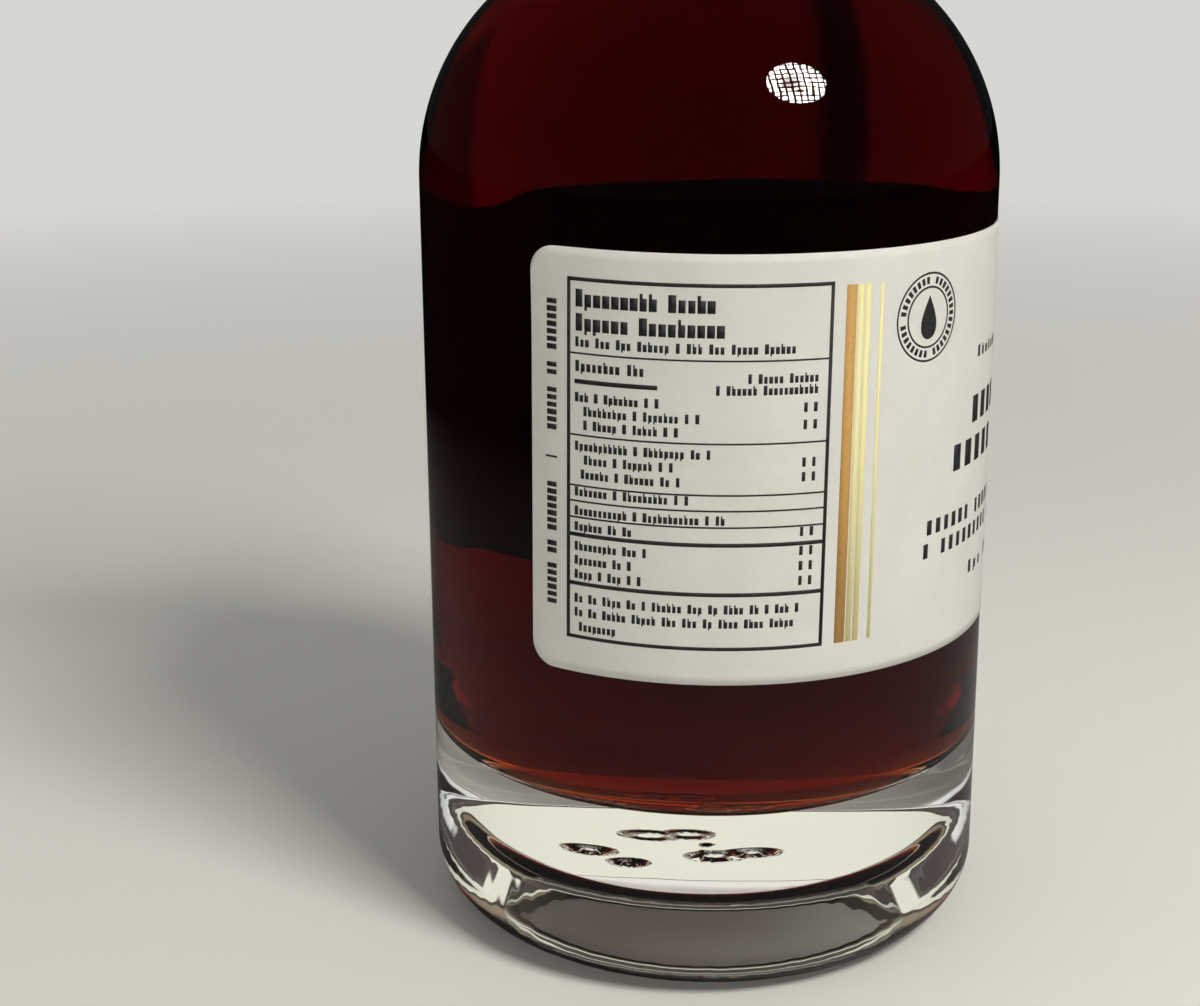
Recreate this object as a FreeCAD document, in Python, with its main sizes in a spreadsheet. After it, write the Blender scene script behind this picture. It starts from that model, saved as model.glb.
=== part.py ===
"""A stoppered clear glass bottle of maple syrup with a wrapped paper label.

Millimetres. The origin is the centre of the base on the surface the bottle stands on,
+Z is up the bottle's axis, and the left part of the label faces -Y.
"""
import FreeCAD, Part

import math
import os

import Sketcher
from FreeCAD import Base, Vector

doc = FreeCAD.newDocument("maple_syrup_bottle")

# ---------------------------------------------------------------- driving dimensions

DRIVING = [
    # glass, outside
    ("outer_radius", 38.0, "body of the bottle"),
    ("heel_radius", 8.0, "round corner between base and wall"),
    ("land_width", 3.0, "ring the bottle stands on"),
    ("land_round", 2.0, "inner edge of the ring"),
    ("push_up_rise", 10.0, "height of the hollow under the base"),
    ("push_up_radius", 22.5, "flat middle of the hollow"),
    ("push_up_round", 3.5, "edge of the flat middle"),
    ("shoulder_height", 101.0, "top of the straight wall"),
    ("shoulder_radius", 32.1, "round shoulder"),
    ("neck_root_radius", 6.0, "hollow curve between shoulder and neck"),
    ("neck_radius", 13.5, "neck, outside"),
    ("lip_radius", 15.5, "band round the mouth"),
    ("lip_height", 11.0, "band round the mouth"),
    ("glass_height", 156.0, "whole bottle without its stopper"),
    ("lip_round", 1.5, "edges of the band"),
    # glass, inside
    ("wall_thickness", 3.0, "wall and shoulder"),
    ("floor_height", 20.9, "middle of the dished inside floor, above the ground"),
    ("floor_dish", 150.0, "radius of the dished floor"),
    ("floor_corner", 8.0, "round corner of the inside floor"),
    ("bore_radius", 9.5, "neck, inside"),
    ("bore_root_radius", 9.0, "curve from the inner shoulder into the bore"),
    # syrup
    ("fill_height", 131.0, "level of the syrup above the ground"),
    # label
    ("label_thickness", 0.12, "paper"),
    ("label_height", 52.9, "cut size"),
    ("label_width", 155.0, "cut size, wrapped"),
    ("label_middle", 70.3, "half height of the label above the ground, at the front"),
    ("label_start_angle", 33.4, "degrees from the front round to the left edge"),
    ("label_lean_angle", 0.8, "degrees that the label was stuck on askew"),
    ("label_corner", 3.2, "rounded corners"),
    # stopper
    ("head_radius", 15.5, "wooden head"),
    ("head_height", 12.0, "wooden head"),
    ("head_round", 1.4, "edges of the head"),
    ("cork_length", 18.0, "shank in the bore"),
    ("cork_chamfer", 1.2, "lower end of the shank"),
]

sheet = doc.addObject("Spreadsheet::Sheet", "Sizes")
for row, (alias, value, note) in enumerate(DRIVING, start=1):
    sheet.set(f"A{row}", alias)
    sheet.set(f"B{row}", str(value))
    sheet.set(f"C{row}", note)
    sheet.setAlias(f"B{row}", alias)
doc.recompute()


def size(alias):
    """The number in the sheet's cell of that name."""
    return float(sheet.get(alias))


# ---------------------------------------------------------------- sketch helpers

START, END, CENTRE = 1, 2, 3
ORIGIN, AXIS_X, AXIS_Y = -1, -1, -2


def new_body(label):
    """An empty PartDesign body with a label of its own."""
    body = doc.addObject("PartDesign::Body", label)
    body.Label = label
    return body


def origin_feature(body, role):
    """One of the body's own origin planes or axes."""
    return next(f for f in body.Origin.OriginFeatures if f.Role == role)


def half_section(body, name):
    """A sketch on the body's XZ plane: its x is the radius and its y the height."""
    sketch = body.newObject("Sketcher::SketchObject", name)
    sketch.AttachmentSupport = [(origin_feature(body, "XZ_Plane"), "")]
    sketch.MapMode = "FlatFace"
    return sketch


class Outline:
    """A chain of lines and arcs in a sketch, closed back to its first point."""

    def __init__(self, sketch, x, y):
        self.sketch = sketch
        self.first = (x, y)
        self.point = (x, y)
        self.chain = []

    def _join(self, index, start, end, tangent):
        if self.chain:
            last, last_end = self.chain[-1][0], self.chain[-1][2]
            kind = "Tangent" if tangent else "Coincident"
            self.sketch.addConstraint(Sketcher.Constraint(kind, last, last_end, index, start))
        self.chain.append((index, start, end))
        return index

    def line(self, x, y, tangent=False):
        """A straight piece to (x, y)."""
        segment = Part.LineSegment(Vector(*self.point, 0), Vector(x, y, 0))
        index = self.sketch.addGeometry(segment)
        self.point = (x, y)
        return self._join(index, START, END, tangent)

    def arc(self, centre, radius, x, y, clockwise=False):
        """An arc about a centre to (x, y), tangent to the piece before it."""
        circle = Part.Circle(Vector(*centre, 0), Vector(0, 0, 1), radius)
        here = math.atan2(self.point[1] - centre[1], self.point[0] - centre[0])
        there = math.atan2(y - centre[1], x - centre[0])
        ends = (there, here) if clockwise else (here, there)
        if ends[1] <= ends[0]:
            ends = (ends[0], ends[1] + 2 * math.pi)
        index = self.sketch.addGeometry(Part.ArcOfCircle(circle, *ends))
        self.point = (x, y)
        start, end = (END, START) if clockwise else (START, END)
        return self._join(index, start, end, True)

    def close(self):
        """A last line back to the first point."""
        index = self.line(*self.first)
        first, first_start = self.chain[0][0], self.chain[0][1]
        self.sketch.addConstraint(Sketcher.Constraint("Coincident", index, END, first, first_start))
        return index

    def rule(self, kind, *places):
        """A constraint without a size."""
        self.sketch.addConstraint(Sketcher.Constraint(kind, *places))

    def bind(self, name, kind, *places, value, to):
        """A constraint with a size that is bound to an expression of the sheet's cells."""
        index = self.sketch.addConstraint(Sketcher.Constraint(kind, *places, value))
        self.sketch.renameConstraint(index, name)
        self.sketch.setExpression(f"Constraints.{name}", to)


def height_of(outline, name, piece, end, value, to):
    """Binds the height of one end of a piece."""
    outline.bind(name, "DistanceY", ORIGIN, START, piece, end, value=value, to=to)


def radius_of(outline, name, piece, end, value, to):
    """Binds the distance from the bottle's axis of one end of a piece."""
    outline.bind(name, "DistanceX", ORIGIN, START, piece, end, value=value, to=to)


def revolve(body, kind, sketch):
    """A full turn of a half section about the body's own Z axis, added or cut."""
    feature = body.newObject(f"PartDesign::{kind}", f"{body.Label}_{kind.lower()}")
    feature.Profile = sketch
    feature.ReferenceAxis = (origin_feature(body, "Z_Axis"), [""])
    feature.Angle = 360
    sketch.Visibility = False
    doc.recompute()
    return feature


def round_edges(body, base, name, radius_cell, wanted):
    """A fillet on the circular edges for which wanted(radius) is true."""
    edges = []
    for number, edge in enumerate(base.Shape.Edges, start=1):
        if edge.Degenerated or not isinstance(edge.Curve, Part.Circle):
            continue
        if wanted(edge.Curve.Radius):
            edges.append(f"Edge{number}")
    fillet = body.newObject("PartDesign::Fillet", name)
    fillet.Base = (base, edges)
    fillet.setExpression("Radius", f"Sizes.{radius_cell}")
    doc.recompute()
    return fillet


def near(a, b):
    """True for two lengths that are the same but for rounding."""
    return abs(a - b) < 1e-4


# ---------------------------------------------------------------- glass bottle

SHOULDER_CENTRE_X = size("outer_radius") - size("shoulder_radius")


def root_height(shoulder_radius, root_radius, neck_radius):
    """Height of the centre of the hollow curve that joins the shoulder's arc to a neck."""
    across = neck_radius + root_radius - SHOULDER_CENTRE_X
    return size("shoulder_height") + math.sqrt((shoulder_radius + root_radius) ** 2 - across**2)


def shoulder_and_neck(outline, prefix, wall, shoulder_radius, root_radius, neck_radius, top, cells):
    """The straight wall, the shoulder, the hollow curve and the neck, drawn upwards."""
    wall_cell, shoulder_cell, root_cell, neck_cell, top_cell = cells
    shoulder = size("shoulder_height")
    centre = (SHOULDER_CENTRE_X, shoulder)
    root_centre = (neck_radius + root_radius, root_height(shoulder_radius, root_radius, neck_radius))
    share = shoulder_radius / (shoulder_radius + root_radius)
    touch_x = centre[0] + share * (root_centre[0] - centre[0])
    touch_y = centre[1] + share * (root_centre[1] - centre[1])

    side = outline.line(wall, shoulder, tangent=True)
    outline.rule("Vertical", side)
    radius_of(outline, f"{prefix}_wall", side, END, wall, to=wall_cell)
    height_of(outline, f"{prefix}_shoulder", side, END, shoulder, to="Sizes.shoulder_height")

    bend = outline.arc(centre, shoulder_radius, touch_x, touch_y)
    outline.bind(f"{prefix}_bend", "Radius", bend, value=shoulder_radius, to=shoulder_cell)

    root = outline.arc(root_centre, root_radius, neck_radius, root_centre[1], clockwise=True)
    outline.bind(f"{prefix}_root", "Radius", root, value=root_radius, to=root_cell)

    neck = outline.line(neck_radius, top, tangent=True)
    outline.rule("Vertical", neck)
    radius_of(outline, f"{prefix}_neck", neck, END, neck_radius, to=neck_cell)
    height_of(outline, f"{prefix}_top", neck, END, top, to=top_cell)


def outer_outline(sketch):
    """The bottle's outside, from the middle of the base up to the mouth."""
    radius, heel = size("outer_radius"), size("heel_radius")
    hollow = radius - heel - size("land_width")
    rise, flat = size("push_up_rise"), size("push_up_radius")
    top, lip = size("glass_height"), size("lip_radius")
    lip_bottom = top - size("lip_height")

    outline = Outline(sketch, 0, rise)
    middle = outline.line(flat, rise)
    outline.rule("Horizontal", middle)
    outline.rule("PointOnObject", middle, START, AXIS_Y)
    radius_of(outline, "push_up", middle, END, flat, to="Sizes.push_up_radius")
    height_of(outline, "rise", middle, START, rise, to="Sizes.push_up_rise")
    slope = outline.line(hollow, 0)
    outline.rule("PointOnObject", slope, END, AXIS_X)
    radius_of(
        outline, "hollow", slope, END, hollow,
        to="Sizes.outer_radius - Sizes.heel_radius - Sizes.land_width",
    )

    land = outline.line(radius - heel, 0)
    outline.rule("Horizontal", land)
    corner = outline.arc((radius - heel, heel), heel, radius, heel)
    outline.bind("heel", "Radius", corner, value=heel, to="Sizes.heel_radius")

    shoulder_and_neck(
        outline, "outer", radius, size("shoulder_radius"), size("neck_root_radius"),
        size("neck_radius"), lip_bottom,
        (
            "Sizes.outer_radius", "Sizes.shoulder_radius", "Sizes.neck_root_radius",
            "Sizes.neck_radius", "Sizes.glass_height - Sizes.lip_height",
        ),
    )

    outline.rule("Horizontal", outline.line(lip, lip_bottom))
    side = outline.line(lip, top)
    outline.rule("Vertical", side)
    radius_of(outline, "lip", side, END, lip, to="Sizes.lip_radius")
    height_of(outline, "mouth", side, END, top, to="Sizes.glass_height")
    outline.rule("Horizontal", outline.line(0, top))
    outline.rule("Vertical", outline.close())


def cavity_outline(sketch, above):
    """The bottle's inside, from the middle of its floor up to a height above the mouth."""
    wall, corner, floor = size("wall_thickness"), size("floor_corner"), size("floor_height")
    inner, top, dish = size("outer_radius") - wall, size("glass_height") + above, size("floor_dish")
    across = inner - corner
    sunk = math.sqrt((dish - corner) ** 2 - across**2)
    corner_height = floor + dish - sunk
    share = dish / (dish - corner)

    outline = Outline(sketch, 0, floor)
    bottom = outline.arc((0, floor + dish), dish, across * share, floor + dish - sunk * share)
    outline.rule("PointOnObject", bottom, START, AXIS_Y)
    outline.rule("PointOnObject", bottom, CENTRE, AXIS_Y)
    height_of(outline, "floor", bottom, START, floor, to="Sizes.floor_height")
    outline.bind("dish", "Radius", bottom, value=dish, to="Sizes.floor_dish")
    bend = outline.arc((across, corner_height), corner, inner, corner_height)
    outline.bind("corner", "Radius", bend, value=corner, to="Sizes.floor_corner")

    shoulder_and_neck(
        outline, "inner", inner, size("shoulder_radius") - wall, size("bore_root_radius"),
        size("bore_radius"), top,
        (
            "Sizes.outer_radius - Sizes.wall_thickness",
            "Sizes.shoulder_radius - Sizes.wall_thickness", "Sizes.bore_root_radius",
            "Sizes.bore_radius", f"Sizes.glass_height + {above}",
        ),
    )

    outline.rule("Horizontal", outline.line(0, top))
    outline.rule("Vertical", outline.close())


CLEARANCE_ABOVE = 1.0  # the cutting shapes run past what they cut


def build_bottle():
    """One solid of glass: a thick base, a wall, a round shoulder, a neck and a lip band."""
    body = new_body("bottle")
    outside = half_section(body, "bottle_outside")
    outer_outline(outside)
    blank = revolve(body, "Revolution", outside)

    inside = half_section(body, "bottle_inside")
    cavity_outline(inside, CLEARANCE_ABOVE)
    hollowed = revolve(body, "Groove", inside)
    if hollowed.Shape.Volume >= blank.Shape.Volume:
        raise RuntimeError("the inside of the bottle was not cut")

    rounds = [
        ("lip_edges", "lip_round", size("lip_radius")),
        ("land_edge", "land_round", size("outer_radius") - size("heel_radius") - size("land_width")),
        ("push_up_edge", "push_up_round", size("push_up_radius")),
    ]
    solid = hollowed
    for name, cell, edge_radius in rounds:
        solid = round_edges(
            body, solid, name, cell,
            lambda radius, wanted=edge_radius: near(radius, wanted),
        )
    return body


# ---------------------------------------------------------------- syrup

def build_syrup():
    """The syrup, which fills the inside of the glass up to its level."""
    body = new_body("syrup")
    inside = half_section(body, "syrup_side")
    cavity_outline(inside, CLEARANCE_ABOVE)
    full = revolve(body, "Revolution", inside)

    top = half_section(body, "syrup_level")
    level, above = size("fill_height"), size("glass_height") + 2 * CLEARANCE_ABOVE
    across = size("outer_radius")
    outline = Outline(top, 0, level)
    surface = outline.line(across, level)
    outline.rule("Horizontal", surface)
    outline.rule("PointOnObject", surface, START, AXIS_Y)
    height_of(outline, "level", surface, START, level, to="Sizes.fill_height")
    side = outline.line(across, above)
    outline.rule("Vertical", side)
    radius_of(outline, "across", side, END, across, to="Sizes.outer_radius")
    height_of(
        outline, "above", side, END, above,
        to=f"Sizes.glass_height + {2 * CLEARANCE_ABOVE}",
    )
    outline.rule("Horizontal", outline.line(0, above))
    outline.rule("Vertical", outline.close())
    levelled = revolve(body, "Groove", top)
    if levelled.Shape.Volume >= full.Shape.Volume:
        raise RuntimeError("the syrup was not cut at its level")
    return body


# ---------------------------------------------------------------- label

CORNER_STEPS = 8  # spans of the curve round each corner of the label


def build_label():
    """A sheet of paper with round corners, wrapped round the glass and a little askew."""
    radius, width, height = size("outer_radius"), size("label_width"), size("label_height")
    corner, lean = size("label_corner"), math.radians(size("label_lean_angle"))
    front = math.radians(-90)  # the cylinder counts its angle from +X
    start = -radius * math.radians(size("label_start_angle"))

    glass = Part.Cylinder()
    glass.Radius = radius

    def wrapped(x, y):
        """A point of the flat label, seen from its outside, as angle and height."""
        along = x * math.cos(lean) + y * math.sin(lean)
        up = y * math.cos(lean) - x * math.sin(lean)
        return Base.Vector2d(front + along / radius, size("label_middle") + up)

    def on_corner(middle, angle):
        return wrapped(middle[0] + corner * math.cos(angle), middle[1] + corner * math.sin(angle))

    low, high = corner - height / 2, height / 2 - corner
    left, right = start + corner, start + width - corner
    corners = [((left, low), 180), ((right, low), 270), ((right, high), 0), ((left, high), 90)]
    edges = []
    for number, (middle, degrees) in enumerate(corners):
        first = math.radians(degrees)
        angles = [first + math.pi / 2 * step / CORNER_STEPS for step in range(CORNER_STEPS + 1)]
        bend = Part.Geom2d.BSplineCurve2d()
        bend.interpolate([on_corner(middle, angle) for angle in angles])
        edges.append(bend.toShape(glass))
        following, following_degrees = corners[(number + 1) % len(corners)]
        side_start = on_corner(middle, angles[-1])
        side_end = on_corner(following, math.radians(following_degrees))
        edges.append(Part.Geom2d.Line2dSegment(side_start, side_end).toShape(glass))

    face = Part.Face(glass, Part.Wire(edges))
    label = doc.addObject("Part::Feature", "label")
    label.Label = "label"
    label.Shape = face.makeOffsetShape(size("label_thickness"), 1e-4, fill=True)
    return label


# ---------------------------------------------------------------- stopper

def build_head():
    """The stopper's turned wooden head, which rests on the lip."""
    body = new_body("stopper_head")
    outline_sketch = half_section(body, "head_side")
    low, radius = size("glass_height"), size("head_radius")
    high = low + size("head_height")
    outline = Outline(outline_sketch, 0, low)
    bottom = outline.line(radius, low)
    outline.rule("Horizontal", bottom)
    outline.rule("PointOnObject", bottom, START, AXIS_Y)
    height_of(outline, "underside", bottom, START, low, to="Sizes.glass_height")
    side = outline.line(radius, high)
    outline.rule("Vertical", side)
    radius_of(outline, "head", side, END, radius, to="Sizes.head_radius")
    height_of(outline, "crown", side, END, high, to="Sizes.glass_height + Sizes.head_height")
    outline.rule("Horizontal", outline.line(0, high))
    outline.rule("Vertical", outline.close())
    disc = revolve(body, "Revolution", outline_sketch)
    round_edges(body, disc, "head_edges", "head_round", lambda radius: True)
    return body


def build_cork():
    """The stopper's cork shank, which fills the bore below the head."""
    body = new_body("stopper_cork")
    outline_sketch = half_section(body, "cork_side")
    top, radius, chamfer = size("glass_height"), size("bore_radius"), size("cork_chamfer")
    low = top - size("cork_length")
    outline = Outline(outline_sketch, 0, low)
    bottom = outline.line(radius - chamfer, low)
    outline.rule("Horizontal", bottom)
    outline.rule("PointOnObject", bottom, START, AXIS_Y)
    height_of(outline, "low", bottom, START, low, to="Sizes.glass_height - Sizes.cork_length")
    slope = outline.line(radius, low + chamfer)
    outline.bind("chamfer_out", "DistanceX", slope, START, slope, END, value=chamfer,
                 to="Sizes.cork_chamfer")
    outline.bind("chamfer_up", "DistanceY", slope, START, slope, END, value=chamfer,
                 to="Sizes.cork_chamfer")
    side = outline.line(radius, top)
    outline.rule("Vertical", side)
    radius_of(outline, "shank", side, END, radius, to="Sizes.bore_radius")
    height_of(outline, "top", side, END, top, to="Sizes.glass_height")
    outline.rule("Horizontal", outline.line(0, top))
    outline.rule("Vertical", outline.close())
    revolve(body, "Revolution", outline_sketch)
    return body


# ---------------------------------------------------------------- build, check, write

parts = [build_bottle(), build_syrup(), build_label(), build_head(), build_cork()]
doc.recompute()

for item in doc.Objects:
    if "Invalid" in item.State or "Error" in item.State:
        raise RuntimeError(f"{item.Label} failed: {item.State}")
for part in parts:
    shape = part.Shape
    if shape.isNull() or not shape.isValid() or len(shape.Solids) != 1:
        raise RuntimeError(f"{part.Label} is not one valid solid")

os.makedirs("parts", exist_ok=True)
CUBIC_MM_IN_ML = 1000
for part in parts:
    part.Shape.exportStep(f"parts/{part.Label}.step")
    print(f"{part.Label}: {part.Shape.Volume / CUBIC_MM_IN_ML:.2f} ml")
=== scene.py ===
"""Looks of the stoppered maple syrup bottle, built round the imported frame.

Lengths in this file are millimetres until a mesh is made. Angles on the bottle are counted from
its front, which faces -Y, towards +X. On the label, x runs round the glass from the bottle's
front and y runs up from half the label's height.
"""
import math
import random

import bpy
from mathutils import Euler, Matrix, Vector


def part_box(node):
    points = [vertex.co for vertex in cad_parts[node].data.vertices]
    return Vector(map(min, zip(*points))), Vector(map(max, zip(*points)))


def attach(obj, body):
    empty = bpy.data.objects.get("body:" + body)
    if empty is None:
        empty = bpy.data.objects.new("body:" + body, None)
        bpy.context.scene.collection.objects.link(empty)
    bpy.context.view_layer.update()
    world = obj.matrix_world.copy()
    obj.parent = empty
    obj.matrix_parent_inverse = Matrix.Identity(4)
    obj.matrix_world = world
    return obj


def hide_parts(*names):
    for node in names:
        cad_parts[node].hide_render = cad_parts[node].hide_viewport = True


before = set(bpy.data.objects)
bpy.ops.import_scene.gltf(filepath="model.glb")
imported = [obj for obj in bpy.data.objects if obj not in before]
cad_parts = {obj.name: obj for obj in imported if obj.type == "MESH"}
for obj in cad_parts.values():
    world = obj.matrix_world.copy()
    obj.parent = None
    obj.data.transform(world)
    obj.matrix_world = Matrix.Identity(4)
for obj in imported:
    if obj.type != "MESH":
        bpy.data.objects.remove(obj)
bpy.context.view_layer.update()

MM = 0.001  # metres


# ---------------------------------------------------------------- sizes

def node_box(node):
    """Lowest and highest corner of a CAD node, in millimetres."""
    low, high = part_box(node)
    return low / MM, high / MM


_, glass_high = node_box("bottle")
syrup_low, syrup_high = node_box("syrup")
head_low, head_high = node_box("stopper_head")
cork_low, cork_high = node_box("stopper_cork")

RADIUS = glass_high.x
WALL = RADIUS - syrup_high.x
GLASS_TOP = glass_high.z
FLOOR = syrup_low.z
LEVEL = syrup_high.z
BORE = cork_high.x

# the glass's outline, the same as in the CAD
HEEL_RADIUS = 8.0
LAND_WIDTH = 3.0
LAND_ROUND = 2.0
PUSH_UP_RISE = 10.0
PUSH_UP_RADIUS = 22.5
PUSH_UP_ROUND = 3.5
SHOULDER_HEIGHT = 101.0
SHOULDER_RADIUS = 32.1
NECK_ROOT = 6.0
NECK_RADIUS = 13.5
LIP_RADIUS = 15.5
LIP_HEIGHT = 11.0
LIP_ROUND = 1.5
LIP_UNDERCUT_ROUND = 0.7  # where the lip band meets the neck, and its lower edge
MOUTH_ROUND = 0.4
FLOOR_DISH = 150.0
FLOOR_CORNER = 8.0
BORE_ROOT = 9.0

LABEL_THICKNESS = 0.12
LABEL_HEIGHT = 52.9
LABEL_WIDTH = 155.0
LABEL_MIDDLE = 70.3
LABEL_START = -RADIUS * math.radians(33.4)
LABEL_LEAN = math.radians(0.8)
LABEL_CORNER = 3.2

SEGMENTS = 384  # spans round the glass
STOPPER_SEGMENTS = 192


# ---------------------------------------------------------------- mesh helpers

def smooth_object(name, vertices, faces, slots=None):
    """A smooth-shaded mesh object from points in millimetres, with consistent normals."""
    mesh = bpy.data.meshes.new(name)
    mesh.from_pydata([(x * MM, y * MM, z * MM) for x, y, z in vertices], [], faces)
    if slots:
        mesh.polygons.foreach_set("material_index", slots)
    mesh.polygons.foreach_set("use_smooth", [True] * len(mesh.polygons))
    mesh.update()
    piece = bpy.data.objects.new(name, mesh)
    bpy.context.scene.collection.objects.link(piece)
    return piece


def at(radius, angle, height):
    """The point at that radius, angle from the front and height."""
    return (radius * math.sin(angle), -radius * math.cos(angle), height)


def arc(centre, radius, start, end, steps):
    """Points of an arc, angles in radians from the radial direction."""
    turns = [start + (end - start) * k / steps for k in range(steps + 1)]
    return [(centre[0] + radius * math.cos(t), centre[1] + radius * math.sin(t)) for t in turns]


def rounded(corners, steps=8):
    """A chain of points through (r, z, rounding) corners, with each rounded corner as an arc."""
    chain = [corners[0][:2]]
    for before, corner, after in zip(corners, corners[1:], corners[2:]):
        place = Vector(corner[:2])
        if corner[2] == 0:
            chain.append(corner[:2])
            continue
        back = (Vector(before[:2]) - place).normalized()
        ahead = (Vector(after[:2]) - place).normalized()
        half = back.angle(ahead) / 2
        centre = place + (back + ahead).normalized() * corner[2] / math.sin(half)
        first = place + back * corner[2] / math.tan(half) - centre
        last = place + ahead * corner[2] / math.tan(half) - centre
        turn = first.angle_signed(last)
        for step in range(steps + 1):
            chain.append(tuple(centre + Matrix.Rotation(-turn * step / steps, 2) @ first))
    chain.append(corners[-1][:2])
    return chain


def spread(points, longest):
    """The same chain with its long spans divided."""
    chain = [points[0]]
    for a, b in zip(points, points[1:]):
        parts = max(1, math.ceil(math.dist(a, b) / longest))
        for k in range(1, parts + 1):
            chain.append((a[0] + (b[0] - a[0]) * k / parts, a[1] + (b[1] - a[1]) * k / parts))
    return chain


def lathe(name, profile, segments=SEGMENTS, shape=None, slot_of=None):
    """A body of revolution that ends on the axis at both ends of its profile.

    shape(radius, angle, height) may move a point up; slot_of(span) picks a material slot.
    """
    vertices, rings, faces, slots = [], [], [], []
    for radius, height in profile:
        first = len(vertices)
        if radius < 1e-6:
            vertices.append((0, 0, height))
            rings.append([first] * segments)
            continue
        for k in range(segments):
            angle = 2 * math.pi * k / segments
            lift = shape(radius, angle, height) if shape else 0
            vertices.append(at(radius, angle, height + lift))
        rings.append(list(range(first, first + segments)))
    for span, (a, b) in enumerate(zip(rings, rings[1:])):
        slot = slot_of(span) if slot_of else 0
        for k in range(segments):
            n = (k + 1) % segments
            corners = [a[k], a[n], b[n], b[k]]
            faces.append(list(dict.fromkeys(corners)))
            slots.append(slot)
    return smooth_object(name, vertices, faces, slots)


# ---------------------------------------------------------------- shader helpers

class Nodes:
    """A node tree with short ways to add and join nodes."""

    def __init__(self, tree):
        self.tree = tree

    def add(self, kind, settings=None, **sockets):
        """A node; socket names are given with underscores for spaces."""
        made = self.tree.nodes.new("ShaderNode" + kind)
        for key, value in (settings or {}).items():
            setattr(made, key, value)
        for key, value in sockets.items():
            made.inputs[key.replace("_", " ")].default_value = value
        return made

    def join(self, source, target):
        self.tree.links.new(source, target)

    def calculate(self, operation, first, second, clamp=False):
        """The result of a Math node with two linked inputs."""
        made = self.add("Math", {"operation": operation, "use_clamp": clamp})
        self.join(first, made.inputs[0])
        self.join(second, made.inputs[1])
        return made.outputs[0]

    def mix_shaders(self, factor, first, second):
        """The first shader at factor 0 and the second at 1."""
        made = self.add("MixShader")
        if isinstance(factor, bpy.types.NodeSocket):
            self.join(factor, made.inputs["Fac"])
        else:
            made.inputs["Fac"].default_value = factor
        self.join(first, made.inputs[1])
        self.join(second, made.inputs[2])
        return made.outputs["Shader"]

    def light_path(self, output):
        return self.add("LightPath").outputs[output]

    def path_difference(self, first, second):
        """Light Path's first output less its second, no lower than 0."""
        path = self.add("LightPath").outputs
        return self.calculate("SUBTRACT", path[first], path[second], clamp=True)

    def mirrored_only(self):
        """1 for a ray that a shiny face has just mirrored, and 0 for any other."""
        return self.path_difference("Is Glossy Ray", "Is Transmission Ray")

    def seen_through(self):
        """1 for a ray from the eye that glass lets through, 0 for light on its way to paper."""
        return self.path_difference("Is Transmission Ray", "Diffuse Depth")

    def place(self):
        """Object coordinates, in metres."""
        return self.add("TexCoord").outputs["Object"]

    def noise(self, scale, detail=2.0, stretch=None, roughness=0.5):
        """Noise over the piece's own coordinates, finer along the axes that stretch scales up."""
        made = self.add("TexNoise", Scale=scale, Detail=detail, Roughness=roughness)
        source = self.place()
        if stretch:
            mapping = self.add("Mapping", Scale=stretch)
            self.join(source, mapping.inputs["Vector"])
            source = mapping.outputs["Vector"]
        self.join(source, made.inputs["Vector"])
        return made.outputs["Fac"]

    def ramp(self, source, *stops):
        """A colour ramp through (position, colour) stops."""
        made = self.add("ValToRGB")
        ends = made.color_ramp.elements
        while len(ends) < len(stops):
            ends.new(0.5)
        for element, (position, colour) in zip(ends, stops):
            element.position = position
            element.color = (*colour, 1)
        self.join(source, made.inputs["Fac"])
        return made.outputs["Color"]

    def range(self, source, low, high, from_low=0.0, from_high=1.0):
        """The source's range from_low to from_high, clamped, as low to high."""
        made = self.add("MapRange", From_Min=from_low, From_Max=from_high, To_Min=low, To_Max=high)
        self.join(source, made.inputs["Value"])
        return made.outputs["Result"]

    def mix(self, a, b, factor, blend="MIX"):
        made = self.add("Mix", {"data_type": "RGBA", "blend_type": blend})
        factor_socket, a_socket, b_socket = made.inputs[0], made.inputs[6], made.inputs[7]
        for value, socket in ((factor, factor_socket), (a, a_socket), (b, b_socket)):
            if isinstance(value, bpy.types.NodeSocket):
                self.join(value, socket)
            elif socket is factor_socket:
                socket.default_value = value
            else:
                socket.default_value = (*value, 1)
        return made.outputs[2]

    def bump(self, source, strength, distance, before=None):
        made = self.add("Bump", Strength=strength, Distance=distance)
        self.join(source, made.inputs["Height"])
        if before:
            self.join(before, made.inputs["Normal"])
        return made.outputs["Normal"]


class Shader(Nodes):
    """A node material built on its Principled shader."""

    def __init__(self, name):
        self.material = bpy.data.materials.new(name)
        self.material.use_nodes = True
        super().__init__(self.material.node_tree)
        self.main = self.tree.nodes["Principled BSDF"]
        self.output = self.tree.nodes["Material Output"]

    def put(self, **sockets):
        """Values on the Principled shader's own sockets."""
        for key, value in sockets.items():
            self.main.inputs[key.replace("_", " ")].default_value = value


GLASS_IOR = 1.52
SYRUP_IOR = 1.46


def glass_material(name, ior):
    """Clear bottle glass, slightly wavy."""
    shader = Shader(name)
    shader.put(Base_Color=(0.992, 1.0, 0.994, 1), Roughness=0.0, IOR=ior)
    shader.put(Transmission_Weight=1.0)
    waves = shader.noise(70.0, detail=1.0, stretch=(1, 1, 0.45))
    shader.join(shader.bump(waves, 0.12, 0.0006), shader.main.inputs["Normal"])
    return shader.material


def syrup_material(name, ior):
    """Dark maple syrup, which takes its colour from the light it swallows."""
    shader = Shader(name)
    shader.put(Base_Color=(1, 1, 1, 1), Roughness=0.0, IOR=ior, Transmission_Weight=1.0)
    swallow = shader.add("VolumeAbsorption", Color=(0.852, 0.39, 0.06, 1), Density=320.0)
    shader.join(swallow.outputs["Volume"], shader.output.inputs["Volume"])
    return shader.material


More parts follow.
